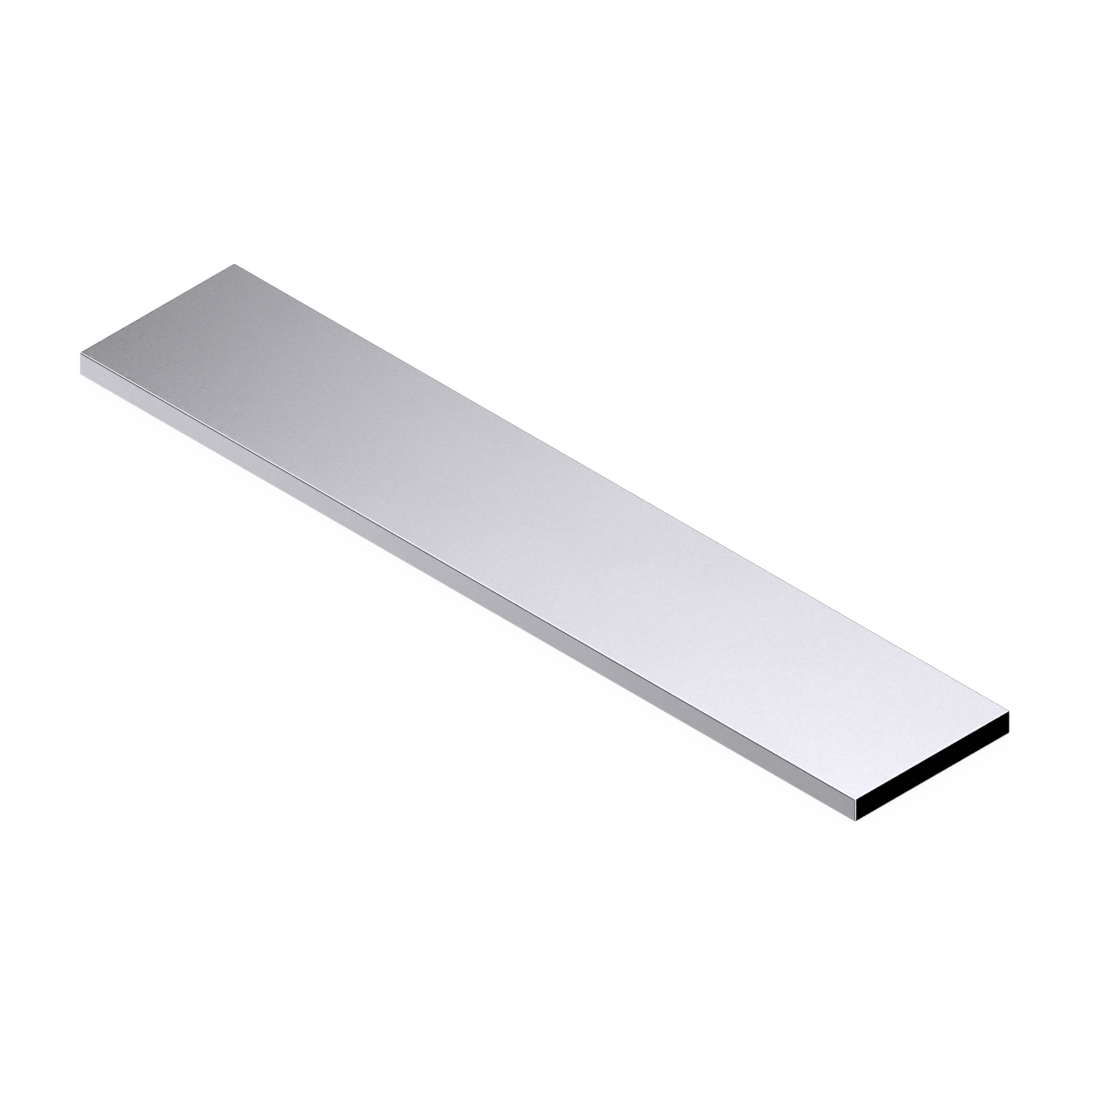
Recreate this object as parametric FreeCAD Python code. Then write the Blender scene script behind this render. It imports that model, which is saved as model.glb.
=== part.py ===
"""Metal flat bar: a short cut length of solid rectangular bar.

The section is a wide, thin rectangle whose four long corners have the small
radius that a finished bar leaves the die with. The length is sawn square at
both ends, and the saw's burr is taken off by a narrow 45 degree chamfer along
all four sides of each end face.

Frame: X runs along the bar, Y across its width and Z up through its
thickness. The origin is the middle of the underside, so the bar lies on a
level surface at Z = 0. All sizes are in millimetres.
"""

import os

import FreeCAD
import Part

# Driving dimensions
bar_length = 200.0  # sawn length, end face to end face
bar_width = 40.0  # width of the broad faces
bar_thickness = 5.0  # between the two broad faces
corner_radius = 0.35  # on the four long corners of the section
end_chamfer = 0.3  # leg of the 45 degree chamfer round each sawn end

# Directions along, across and up through the bar
along = FreeCAD.Vector(1, 0, 0)
across = FreeCAD.Vector(0, 1, 0)
up = FreeCAD.Vector(0, 0, 1)

# Back end of the bar, where the section is drawn
back_end = along * (-bar_length / 2)
section_middle = back_end + up * (bar_thickness / 2)


def section_corner(side, next_side):
    """Arc from one flat side of the section round to the next.

    Each side is its outward direction and its distance from the middle.
    """
    direction, reach = side
    next_direction, next_reach = next_side
    arc_centre = (
        section_middle
        + direction * (reach - corner_radius)
        + next_direction * (next_reach - corner_radius)
    )
    arc_start = arc_centre + direction * corner_radius
    arc_end = arc_centre + next_direction * corner_radius
    half_way = arc_centre + (direction + next_direction) * (corner_radius / 2**0.5)
    return Part.Arc(arc_start, half_way, arc_end).toShape()


def bar_section():
    """Face of the section: four rounded corners joined by the four flat sides."""
    sides = [
        (across, bar_width / 2),
        (up, bar_thickness / 2),
        (-across, bar_width / 2),
        (-up, bar_thickness / 2),
    ]
    corners = [section_corner(side, sides[number - 3]) for number, side in enumerate(sides)]
    outline = []
    for number, corner in enumerate(corners):
        next_corner = corners[number - 3]
        flat = Part.LineSegment(corner.Vertexes[-1].Point, next_corner.Vertexes[0].Point)
        outline += [corner, flat.toShape()]
    return Part.Face(Part.Wire(outline))


def deburred_block(edge_direction):
    """The bar's square block, with its end edges that run in one direction chamfered."""
    block_corner = back_end - across * (bar_width / 2)
    block = Part.makeBox(bar_length, bar_width, bar_thickness, block_corner)
    edges = [
        edge
        for edge in block.Edges
        if edge.tangentAt(edge.FirstParameter).cross(edge_direction).Length < 0.5
    ]
    return block.makeChamfer(end_chamfer, edges)


def flat_bar():
    """The section drawn out to its length, inside the chamfers of both ends."""
    drawn_bar = bar_section().extrude(along * bar_length)
    level_edges_cut = deburred_block(across)
    upright_edges_cut = deburred_block(up)
    return drawn_bar.common([level_edges_cut]).common([upright_edges_cut])


def describe(name, piece):
    """Prints the overall size, volume and soundness of a finished piece."""
    box = piece.BoundBox
    print(
        f"{name}: {box.XLength:.3f} x {box.YLength:.3f} x {box.ZLength:.3f} mm,"
        f" {piece.Volume:.2f} mm3, {len(piece.Solids)} solid with"
        f" {len(piece.Faces)} faces, sound: {piece.isValid()}"
    )


os.makedirs("parts", exist_ok=True)
pieces = {"flat_bar": flat_bar()}
for node, piece in pieces.items():
    describe(node, piece)
    piece.exportStep(f"parts/{node}.step")
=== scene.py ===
import math
import random

import bmesh
import bpy
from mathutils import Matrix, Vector


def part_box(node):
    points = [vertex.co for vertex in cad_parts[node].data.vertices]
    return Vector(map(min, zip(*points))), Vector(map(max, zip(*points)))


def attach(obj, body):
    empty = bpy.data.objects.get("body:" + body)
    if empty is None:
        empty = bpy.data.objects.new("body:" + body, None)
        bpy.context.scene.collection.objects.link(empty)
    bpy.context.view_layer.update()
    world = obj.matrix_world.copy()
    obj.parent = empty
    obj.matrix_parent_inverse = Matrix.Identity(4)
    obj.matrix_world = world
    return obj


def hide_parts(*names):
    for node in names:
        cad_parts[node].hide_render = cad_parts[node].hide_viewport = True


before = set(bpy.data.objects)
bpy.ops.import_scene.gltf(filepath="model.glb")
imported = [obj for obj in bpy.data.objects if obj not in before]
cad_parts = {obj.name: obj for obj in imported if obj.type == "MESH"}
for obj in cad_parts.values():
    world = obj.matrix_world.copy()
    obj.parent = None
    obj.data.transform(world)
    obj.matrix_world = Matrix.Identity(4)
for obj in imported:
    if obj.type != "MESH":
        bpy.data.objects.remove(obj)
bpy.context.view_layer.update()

random.seed(7)

boxLow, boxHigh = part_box("flat_bar")
boxMiddle = (boxLow + boxHigh) / 2
barSize = boxHigh - boxLow
hairsBreadth = 1e-6  # slack for finding points by their place
squareOn = 0.99  # a face whose normal reaches this along the bar is an end face
noiseSpan = (0.3, 0.7)  # nearly all of a noise's values lie between these
print("frame loaded: bar", [round(side * 1000, 3) for side in barSize], "mm")


# small helpers for picking faces and edges in edit mode

def pickFaces(obj, wanted):
    mesh = bmesh.from_edit_mesh(obj.data)
    bpy.ops.mesh.select_mode(type="FACE")
    bpy.ops.mesh.select_all(action="DESELECT")
    for face in mesh.faces:
        face.select_set(wanted(face))
    mesh.select_flush_mode()
    bmesh.update_edit_mesh(obj.data)


def pickEdges(obj, wanted):
    mesh = bmesh.from_edit_mesh(obj.data)
    bpy.ops.mesh.select_mode(type="EDGE")
    bpy.ops.mesh.select_all(action="DESELECT")
    for edge in mesh.edges:
        edge.select_set(wanted(edge))
    mesh.select_flush_mode()
    bmesh.update_edit_mesh(obj.data)


# materials

def addNode(tree, kind, spot, **settings):
    node = tree.nodes.new(kind)
    node.location = spot
    for name, value in settings.items():
        setattr(node, name, value)
    return node


def addMath(tree, operation, spot, *values):
    # each value is a socket or a number
    node = addNode(tree, "ShaderNodeMath", spot, operation=operation)
    for number, value in enumerate(values):
        if isinstance(value, bpy.types.NodeSocket):
            tree.links.new(value, node.inputs[number])
        else:
            node.inputs[number].default_value = value
    return node.outputs[0]


def addRange(tree, spot, value, before, after, smooth=False):
    node = addNode(tree, "ShaderNodeMapRange", spot)
    if smooth:
        node.interpolation_type = "SMOOTHSTEP"
    node.inputs["From Min"].default_value = before[0]
    node.inputs["From Max"].default_value = before[1]
    node.inputs["To Min"].default_value = after[0]
    node.inputs["To Max"].default_value = after[1]
    tree.links.new(value, node.inputs["Value"])
    return node.outputs["Result"]


def addNoise(tree, spot, place, scale, detail):
    node = addNode(tree, "ShaderNodeTexNoise", spot)
    node.inputs["Scale"].default_value = scale
    node.inputs["Detail"].default_value = detail
    tree.links.new(place, node.inputs["Vector"])
    return node.outputs["Fac"]


def addCells(tree, spot, place, scale):
    # a random tone for each little cell
    node = addNode(tree, "ShaderNodeTexVoronoi", spot)
    node.inputs["Scale"].default_value = scale
    tree.links.new(place, node.inputs["Vector"])
    return node.outputs["Color"]


def addColours(tree, spot, value, low, high):
    node = addNode(tree, "ShaderNodeValToRGB", spot)
    for element, position, colour in zip(node.color_ramp.elements, noiseSpan, (low, high)):
        element.position = position
        element.color = colour
    tree.links.new(value, node.inputs["Fac"])
    return node.outputs["Color"]


def addBlend(tree, spot, share, first, second):
    node = addNode(tree, "ShaderNodeMix", spot, data_type="RGBA")
    tree.links.new(share, node.inputs["Factor"])
    tree.links.new(first, node.inputs[6])  # sockets 6 and 7 are the colours
    if isinstance(second, bpy.types.NodeSocket):
        tree.links.new(second, node.inputs[7])
    else:
        node.inputs[7].default_value = second
    return node.outputs[2]


def newMaterial(name):
    material = bpy.data.materials.new(name)
    material.use_nodes = True
    material.node_tree.nodes.clear()
    return material, material.node_tree


def startSurface(tree):
    output = addNode(tree, "ShaderNodeOutputMaterial", (1500, 0))
    shader = addNode(tree, "ShaderNodeBsdfPrincipled", (1200, 0))
    tree.links.new(shader.outputs["BSDF"], output.inputs["Surface"])
    return shader


def addBump(tree, spot, height, strength, distance, shader):
    bump = addNode(tree, "ShaderNodeBump", spot)
    bump.inputs["Strength"].default_value = strength
    bump.inputs["Distance"].default_value = distance
    tree.links.new(height, bump.inputs["Height"])
    tree.links.new(bump.outputs["Normal"], shader.inputs["Normal"])


satin = {
    "dark": (0.666, 0.659, 0.713, 1),  # darkest and lightest grains
    "light": (0.694, 0.687, 0.741, 1),
    "worn": (0.72, 0.713, 0.765, 1),  # rubbed metal on the edges
    "grainScale": 2600,  # grains about 0.4 mm across
    "grainTurn": (0.4, 0.7, 0.3),  # turned, so that no face runs along the rows of the noise
    "wavesScale": 1500,  # the surface under the grains is very slightly wavy
    "wavesDepth": 0.000008,
    "wavesStrength": 0.4,
    "cloudScale": 45,  # faint clouds about two centimetres across
    "cloudColour": (0.985, 1.015),
    "roughness": (0.27, 0.33),
    "wornRoughness": 0.5,  # share of the roughness that is left on a rubbed edge
    "wearStart": 0.0006,  # distance from the edge where the rubbing begins
    "wearFull": 0.0002,  # and where the metal is rubbed all over
    "wearWander": 0.0002,  # how far those two places wander
    "wearScale": 900,
}


def nearEdge(tree, place, spot):
    # 0 on the open faces, 1 where two faces of the bar meet
    x, y = spot
    moved = addNode(tree, "ShaderNodeVectorMath", (x, y), operation="SUBTRACT")
    moved.inputs[1].default_value = boxMiddle
    tree.links.new(place, moved.inputs[0])
    split = addNode(tree, "ShaderNodeSeparateXYZ", (x + 160, y))
    tree.links.new(moved.outputs[0], split.inputs[0])
    depths = []
    for number, side in enumerate(barSize):
        row = y - number * 160
        outward = addMath(tree, "ABSOLUTE", (x + 320, row), split.outputs[number])
        depths.append(addMath(tree, "SUBTRACT", (x + 480, row), outward, side / 2))
    alongIn, acrossIn, upIn = depths  # nought on the surface and less inside
    # on the surface the largest of the three is nought, and the next is the distance to the edge
    larger = addMath(tree, "MAXIMUM", (x + 640, y), alongIn, acrossIn)
    smaller = addMath(tree, "MINIMUM", (x + 640, y - 160), alongIn, acrossIn)
    second = addMath(tree, "MAXIMUM", (x + 800, y - 160), smaller, addMath(
        tree, "MINIMUM", (x + 800, y), larger, upIn))
    noise = addNoise(tree, (x + 480, y - 520), place, satin["wearScale"], detail=3)
    most = satin["wearWander"]
    wander = addRange(tree, (x + 640, y - 520), noise, noiseSpan, (-most, most))
    uneven = addMath(tree, "ADD", (x + 960, y), second, wander)
    return addRange(
        tree, (x + 1120, y), uneven, (-satin["wearStart"], -satin["wearFull"]), (0, 1), smooth=True)


def satinSteel():
    material, tree = newMaterial("satin_steel")
    shader = startSurface(tree)
    shader.inputs["Metallic"].default_value = 1
    place = addNode(tree, "ShaderNodeTexCoord", (-1400, 0)).outputs["Object"]
    turned = addNode(tree, "ShaderNodeMapping", (-1000, 300))
    turned.inputs["Rotation"].default_value = satin["grainTurn"]
    tree.links.new(place, turned.inputs["Vector"])
    grain = addCells(tree, (-700, 650), turned.outputs[0], satin["grainScale"])
    waves = addNoise(tree, (-700, 400), turned.outputs[0], satin["wavesScale"], detail=2)
    cloud = addNoise(tree, (-700, 150), turned.outputs[0], satin["cloudScale"], detail=3)
    edge = nearEdge(tree, place, (-1100, -200))

    metal = addColours(tree, (100, 500), grain, satin["dark"], satin["light"])
    cloudTone = addRange(tree, (100, 250), cloud, noiseSpan, satin["cloudColour"])
    clouded = addNode(tree, "ShaderNodeVectorMath", (400, 400), operation="SCALE")
    tree.links.new(metal, clouded.inputs[0])
    tree.links.new(cloudTone, clouded.inputs["Scale"])
    rubbed = addBlend(tree, (700, 300), edge, clouded.outputs[0], satin["worn"])
    tree.links.new(rubbed, shader.inputs["Base Color"])

    gloss = addRange(tree, (400, 0), waves, noiseSpan, satin["roughness"])
    keep = addRange(tree, (400, -250), edge, (0, 1), (1, satin["wornRoughness"]))
    tree.links.new(addMath(tree, "MULTIPLY", (700, 0), gloss, keep), shader.inputs["Roughness"])
    addBump(tree, (900, -300), waves, satin["wavesStrength"], satin["wavesDepth"], shader)
    return material


# painted shade: the sawn end faces and the outer part of their filed edges get this near-black colour,
# standing in for the dark reflection these faces show; the steel there is no darker
endShadeTones = {
    "deep": (0.0002, 0.0002, 0.0002, 1),
    # the lighter tone of the painted shade; nothing is rubbed there
    "rubbed": (0.0008, 0.0008, 0.0009, 1),
    "roughness": (0.82, 0.95),
    "streaks": (600, 60, 1500),  # the painted shade lies in streaks along the saw lines
    "streakDepth": 0.000008,
    "streakStrength": 0.5,
}


# near-black painted shade for the sawn ends, with almost no shine
def shadeEndMaterial():
    material, tree = newMaterial("painted_shade_end")
    shader = startSurface(tree)
    shader.inputs["Specular IOR Level"].default_value = 0
    place = addNode(tree, "ShaderNodeTexCoord", (-600, 0))
    stretch = addNode(tree, "ShaderNodeMapping", (-400, 0))
    stretch.inputs["Scale"].default_value = endShadeTones["streaks"]
    tree.links.new(place.outputs["Object"], stretch.inputs["Vector"])
    streak = addNoise(tree, (-100, 0), stretch.outputs[0], scale=1, detail=4)
    black = addColours(tree, (300, 200), streak, endShadeTones["deep"], endShadeTones["rubbed"])
    tree.links.new(black, shader.inputs["Base Color"])
    dullness = addRange(tree, (300, -100), streak, noiseSpan, endShadeTones["roughness"])
    tree.links.new(dullness, shader.inputs["Roughness"])
    addBump(tree, (700, -300), streak, endShadeTones["streakStrength"], endShadeTones["streakDepth"], shader)
    return material


# the bar itself

bar = {
    "cornerRadius": 0.00035,  # the four long corners, as on the CAD bar
    "cornerSteps": 8,
    "endBreak": 0.0003,  # filed edge round both ends
    "breakSteps": 6,  # facets in that filed edge
    "sawRim": 0.00003,  # flat rim that keeps the saw lines off the filed edge
    "sawPitch": 0.00042,  # distance from one saw line to the next
    "sawWander": 0.3,  # how uneven that distance is
    "sawDepth": (0.000006, 0.00002),  # shallowest and deepest line
    # slope in degrees where the painted shade begins, on the level and on the upright edges
    "shadeFrom": (30, 75),
    "smoothAngle": 35,
}


def addBlock():
    bpy.ops.object.select_all(action="DESELECT")
    # the end breaks grow from the two ends of the block
    blockSize = barSize - Vector((2 * bar["endBreak"], 0, 0))
    bpy.ops.mesh.primitive_cube_add(size=1, location=boxMiddle, scale=blockSize)
    obj = bpy.context.object
    obj.name = "bar_stock"
    bpy.ops.object.transform_apply(location=True, rotation=True, scale=True)
    return obj


def roundLongCorners(obj):
    pickEdges(obj, lambda edge: abs(edge.verts[0].co.x - edge.verts[1].co.x) > barSize.x / 2)
    bpy.ops.mesh.bevel(
        offset=bar["cornerRadius"], segments=bar["cornerSteps"], profile=0.5, affect="EDGES")


def breakEndEdges(obj, side):
    pickFaces(obj, lambda face: face.normal.x * side > squareOn)
    quarter = math.pi / 2
    for step in range(bar["breakSteps"]):  # a quarter round made of narrow insets
        before, after = (quarter * (step + n) / bar["breakSteps"] for n in (0, 1))
        inward = bar["endBreak"] * (math.cos(before) - math.cos(after))
        outward = bar["endBreak"] * (math.sin(after) - math.sin(before))
        bpy.ops.mesh.inset(thickness=inward, depth=outward)


def onEnd(point, side, margin):
    # true for a point of the sawn face at least this far in from the bar's sides
    fromMiddle = point - boxMiddle
    return (
        fromMiddle.x * side > barSize.x / 2 - bar["sawDepth"][1] - hairsBreadth
        and abs(fromMiddle.y) < barSize.y / 2 - margin + hairsBreadth
        and abs(fromMiddle.z) < barSize.z / 2 - margin + hairsBreadth
    )


def sawHeights(margin):
    heights = []
    height = boxLow.z + margin
    while True:
        height += bar["sawPitch"] * (1 + random.uniform(-1, 1) * bar["sawWander"])
        if height > boxHigh.z - margin - bar["sawPitch"] / 2:
            return heights
        heights.append(height)


def cutSawLines(obj, side):
    bpy.ops.mesh.inset(thickness=bar["sawRim"], depth=0)
    margin = bar["endBreak"] + bar["sawRim"]
    heights = sawHeights(margin)
    endPoint = boxMiddle + Vector((side * barSize.x / 2, 0, 0))
    for height in heights:
        pickFaces(obj, lambda face: all(onEnd(vert.co, side, margin) for vert in face.verts))
        endPoint.z = height
        bpy.ops.mesh.bisect(plane_co=endPoint, plane_no=(0, 0, 1))
    for height in heights[::2]:  # every second line is a groove
        depth = random.uniform(*bar["sawDepth"])
        pickEdges(obj, lambda edge: all(
            onEnd(vert.co, side, margin) and abs(vert.co.z - height) < hairsBreadth
            for vert in edge.verts))
        bpy.ops.transform.translate(value=(-side * depth, 0, 0))


def paintShadeOnEnd(obj, side):
    # the painted shade covers the sawn face and laps over the filed edges beside it, standing in for
    # their dark reflection
    def inPaintedShade(face):
        upright = abs(face.calc_center_median().y) > barSize.y / 2 - bar["endBreak"]
        angle = math.radians(bar["shadeFrom"][upright])
        reach = barSize.x / 2 - bar["endBreak"] * (1 - math.sin(angle)) - hairsBreadth
        return all((vert.co.x - boxMiddle.x) * side > reach for vert in face.verts)

    pickFaces(obj, inPaintedShade)
    obj.active_material_index = 1
    bpy.ops.object.material_slot_assign()


def makeBar():
    obj = addBlock()
    obj.data.materials.append(satinSteel())
    # second slot: the painted shade of the ends
    obj.data.materials.append(shadeEndMaterial())
    bpy.ops.object.mode_set(mode="EDIT")
    roundLongCorners(obj)
    for side in (-1, 1):
        breakEndEdges(obj, side)
        cutSawLines(obj, side)
        paintShadeOnEnd(obj, side)
    bpy.ops.object.mode_set(mode="OBJECT")
    bpy.ops.object.shade_smooth_by_angle(angle=math.radians(bar["smoothAngle"]))
    bpy.ops.object.modifier_add(type="WEIGHTED_NORMAL")
    obj.modifiers[-1].keep_sharp = True
    bpy.ops.object.modifier_apply(modifier=obj.modifiers[-1].name)
    return obj


barObject = makeBar()
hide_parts("flat_bar")
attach(barObject, "root")
# count of faces that carry the painted shade of the ends
black = sum(face.material_index for face in barObject.data.polygons)
print("bar modelled:", len(barObject.data.polygons), "faces,", black, "of them blackened")


# studio

studio = {
    "floorSize": 8,
    "floorColour": (0.95, 0.95, 0.95, 1),
    # part of the floor that is plain white to the camera, while the rest takes the shadow
    "whiteShare": 0.94,
    "keySpot": (-0.4, 0.5, 0.9),
    "keySize": 0.8,
    "keyPower": 3,
}


def seenDirectly(tree, spot):
    # 1 for camera, glossy and transmission rays, 0 for the rays that only carry light
    x, y = spot
    path = addNode(tree, "ShaderNodeLightPath", spot)
    rays = [path.outputs["Is " + kind + " Ray"] for kind in ("Camera", "Glossy", "Transmission")]
    seen = addMath(tree, "MAXIMUM", (x + 200, y), rays[0], rays[1])
    return addMath(tree, "MAXIMUM", (x + 400, y), seen, rays[2])


def addPlane(name, size, spot, turn=(0, 0, 0)):
    bpy.ops.object.select_all(action="DESELECT")
    bpy.ops.mesh.primitive_plane_add(size=1, location=spot, rotation=turn)
    plane = bpy.context.object
    plane.name = name
    plane.scale = (size[0], size[1], 1)
    bpy.ops.object.transform_apply(location=False, rotation=False, scale=True)
    return plane


def makeFloor():
    floor = addPlane("floor", (studio["floorSize"], studio["floorSize"]), (0, 0, 0))
    material, tree = newMaterial("pale_floor")
    output = addNode(tree, "ShaderNodeOutputMaterial", (800, 0))
    mix = addNode(tree, "ShaderNodeMixShader", (600, 0))
    matte = addNode(tree, "ShaderNodeBsdfDiffuse", (300, -50))
    matte.inputs["Color"].default_value = studio["floorColour"]
    white = addNode(tree, "ShaderNodeEmission", (300, -250))
    seen = seenDirectly(tree, (-300, 200))
    share = addMath(tree, "MULTIPLY", (400, 200), seen, studio["whiteShare"])
    tree.links.new(share, mix.inputs["Fac"])
    tree.links.new(matte.outputs[0], mix.inputs[1])
    tree.links.new(white.outputs[0], mix.inputs[2])
    tree.links.new(mix.outputs[0], output.inputs["Surface"])
    floor.data.materials.append(material)


def makeWorld():
    world = bpy.data.worlds.new("white_room")
    bpy.context.scene.world = world
    world.use_nodes = True
    tree = world.node_tree
    tree.nodes.clear()
    output = addNode(tree, "ShaderNodeOutputWorld", (800, 0))
    background = addNode(tree, "ShaderNodeBackground", (600, 0))
    background.inputs["Color"].default_value = (1, 1, 1, 1)
    tree.links.new(background.outputs[0], output.inputs["Surface"])


def addLamp(name, spot, size, power):
    bpy.ops.object.light_add(type="AREA", location=spot)
    lamp = bpy.context.object
    lamp.name = name
    lamp.data.size = size
    lamp.data.energy = power
    lamp.visible_camera = False
    lamp.visible_glossy = False
    lamp.rotation_euler = (Vector(spot) - boxMiddle).to_track_quat("Z", "Y").to_euler()


# cards and flags stand round the bar and show only in its polish

def cardGlow(name, strength):
    # strength takes the tree and the X and Y of the card's own coordinates, and gives a socket
    material, tree = newMaterial(name)
    output = addNode(tree, "ShaderNodeOutputMaterial", (1400, 0))
    glow = addNode(tree, "ShaderNodeEmission", (1200, 0))
    place = addNode(tree, "ShaderNodeTexCoord", (-400, 0))
    split = addNode(tree, "ShaderNodeSeparateXYZ", (-200, 0))
    tree.links.new(place.outputs["Object"], split.inputs[0])
    tree.links.new(strength(tree, split.outputs["X"], split.outputs["Y"]), glow.inputs["Strength"])
    tree.links.new(glow.outputs[0], output.inputs["Surface"])
    material.cycles.emission_sampling = "NONE"
    return material


def toneCurve(tree, spot, along, tones):
    # tones are (place in metres, strength) pairs
    start, end = tones[0][0], tones[-1][0]
    top = max(strength for _, strength in tones)
    node = addNode(tree, "ShaderNodeFloatCurve", (spot[0] + 200, spot[1]))
    curve = node.mapping.curves[0]
    points = [((place - start) / (end - start), strength / top) for place, strength in tones]
    curve.points[0].location = points[0]
    curve.points[1].location = points[-1]
    for point in points[1:-1]:
        curve.points.new(*point)
    node.mapping.update()
    tree.links.new(addRange(tree, spot, along, (start, end), (0, 1)), node.inputs["Value"])
    return addMath(tree, "MULTIPLY", (spot[0] + 500, spot[1]), node.outputs["Value"], top)


def showOnlyInPolish(card):
    card.visible_camera = False
    card.visible_diffuse = False
    card.visible_transmission = False
    card.visible_volume_scatter = False
    card.visible_shadow = False


overhead = {
    "height": 0.176,
    "size": (0.72, 0.43),
    "near": 0.08,  # where its near side lies across the bar
    "tones": [
        (-0.17, 0.04), (-0.096, 0.32), (-0.048, 0.67), (0.0, 0.99),
        (0.048, 1.165), (0.096, 1.305), (0.24, 1.53),
    ],
    # how much darker it gets per metre across the bar
    # twistLevel is added to keep these numbers positive
    "twist": [(-0.12, 0.1), (-0.07, 0.8), (-0.025, 3.2), (0.025, 5.4), (0.05, 6.4), (0.12, 8.2)],
    "twistLevel": 5.0,
    "twistReach": 0.08,
}
strip = {
    "size": (0.9, 0.18),  # bright card from the overhead card's near side towards the camera
    "aside": -0.176,
    "tones": [(-0.12, 1.0), (-0.07, 1.3), (0.0, 1.5), (0.1, 1.5)],
}


def makeOverhead():
    height = overhead["height"]
    middleY = overhead["near"] + overhead["size"][1] / 2

    def glow(tree, along, across):
        base = toneCurve(tree, (0, 200), along, overhead["tones"])
        # the middle of the bar's reflection lies one height across from the bar
        over = addMath(tree, "ADD", (0, -100), across, middleY - height)
        reach = overhead["twistReach"]
        over = addRange(tree, (200, -100), over, (-reach, reach), (-reach, reach))  # kept within reach
        slope = toneCurve(tree, (-200, -400), along, overhead["twist"])
        slope = addMath(tree, "SUBTRACT", (500, -400), slope, overhead["twistLevel"])
        twist = addMath(tree, "MULTIPLY", (700, -200), slope, over)
        return addMath(tree, "SUBTRACT", (950, 0), base, twist)

    card = addPlane("overhead_card", overhead["size"], (-height, middleY, height))
    card.data.materials.append(cardGlow("overhead_glow", glow))
    stripY = overhead["near"] - strip["size"][1] / 2
    nearCard = addPlane("bright_strip", strip["size"], (strip["aside"], stripY, height))
    nearCard.data.materials.append(cardGlow("strip_glow", lambda tree, along, across: toneCurve(
        tree, (0, 0), along, strip["tones"])))
    return [card, nearCard]


def plainGlow(name, level):
    material, tree = newMaterial(name)
    output = addNode(tree, "ShaderNodeOutputMaterial", (300, 0))
    glow = addNode(tree, "ShaderNodeEmission", (0, 0))
    glow.inputs["Strength"].default_value = level
    tree.links.new(glow.outputs[0], output.inputs["Surface"])
    material.cycles.emission_sampling = "NONE"
    return material


table = {
    "size": (0.355, 0.62),  # grey card under the bar that its two sides reflect
    "right": 0.135,
    "lift": 0.00005,
    "tones": [
        (-0.1, 0.87), (-0.06, 0.80), (0.0, 0.68), (0.048, 0.58), (0.0985, 0.515), (0.135, 0.49),
    ],
    "nearFade": (-0.065, -0.036),  # it darkens between these places across the bar
    "farFade": (0.033, 0.037),
    "far": 0.04,
}
# two small cards beside the near corner of the bar's end, for its upright edge to reflect
corner = {
    "size": (0.012, 0.014),
    "strength": 1.35,
    "lift": 0.00006,
    "wedgeSize": (0.0172, 0.014),  # dark, with its point at the corner
    "wedgeStrength": 0.0,
    "wedgeLift": 0.00008,
}


def makeTable():
    middleX = table["right"] - table["size"][0] / 2

    def glow(tree, along, across):
        tones = [(place - middleX, strength) for place, strength in table["tones"]]
        near = toneCurve(tree, (0, 200), along, tones)
        nearShare = addRange(tree, (200, -100), across, table["nearFade"], (0, 1), smooth=True)
        farShare = addRange(tree, (200, -400), across, table["farFade"], (1, 0), smooth=True)
        share = addMath(tree, "MULTIPLY", (500, -200), nearShare, farShare)
        lit = addMath(tree, "SUBTRACT", (750, 200), near, table["far"])
        lit = addMath(tree, "MULTIPLY", (900, 200), lit, share)
        return addMath(tree, "ADD", (1050, 200), lit, table["far"])

    card = addPlane("table_card", table["size"], (middleX, 0, table["lift"]))
    card.data.materials.append(cardGlow("table_glow", glow))
    return [card]


def makeCornerCards():
    length, width = corner["size"]
    bright = addPlane("corner_card", corner["size"], (
        boxHigh.x + length / 2, boxLow.y - width / 2, corner["lift"]))
    bright.data.materials.append(plainGlow("corner_tone", corner["strength"]))
    wedge = addPlane("corner_wedge", corner["wedgeSize"], (
        boxHigh.x, boxLow.y - corner["wedgeSize"][1] / 2, corner["wedgeLift"]))
    bpy.ops.object.mode_set(mode="EDIT")
    pickEdges(wedge, lambda edge: all(vert.co.y > 0 for vert in edge.verts))
    bpy.ops.mesh.merge(type="CENTER")
    bpy.ops.object.mode_set(mode="OBJECT")
    wedge.data.materials.append(plainGlow("wedge_tone", corner["wedgeStrength"]))
    return [bright, wedge]


flags = {  # dark cards: middle, size, turns about X and Z in degrees, strength
    "front_flag": ((-0.415, -0.45, 0.088), (1.17, 0.176), (90, 0), 0.05),
    "front_roof": ((-0.415, -0.275, 0.176), (1.17, 0.35), (0, 0), 0.05),
    "back_flag": ((-0.225, 0.30, 0.088), (1.35, 0.176), (90, 0), 0.0),
    "left_flag": ((-0.7, 0.0, 0.05), (0.9, 0.10), (90, 90), 0.25),
}


def makeFlags():
    made = []
    for name, (spot, size, turns, level) in flags.items():
        flag = addPlane(name, size, spot, (math.radians(turns[0]), 0, math.radians(turns[1])))
        flag.data.materials.append(plainGlow(name + "_tone", level))
        made.append(flag)
    return made


makeFloor()
makeWorld()
addLamp("key_softbox", studio["keySpot"], studio["keySize"], studio["keyPower"])
for card in makeOverhead() + makeTable() + makeCornerCards() + makeFlags():
    showOnlyInPolish(card)
print("studio made")


# camera at the photo's isometric angle

photo = {
    "frameWidth": 0.20034,  # real width that the square frame covers
    "aside": 0.00086,  # bar's middle lies this far left of the frame's middle
    "below": 0.001245,  # and this far above it
    "distance": 0.8,
}


def makeCamera():
    back = Vector((1, -1, 1)).normalized()
    right = Vector((1, 1, 0)).normalized()
    up = Vector((-1, 1, 2)).normalized()
    spot = boxMiddle + back * photo["distance"] + right * photo["aside"] - up * photo["below"]
    bpy.ops.object.camera_add(location=spot, rotation=back.to_track_quat("Z", "Y").to_euler())
    camera = bpy.context.object
    camera.data.type = "ORTHO"
    camera.data.ortho_scale = photo["frameWidth"]
    bpy.context.scene.camera = camera


makeCamera()
bpy.context.scene.view_settings.view_transform = "Standard"
print("camera placed")
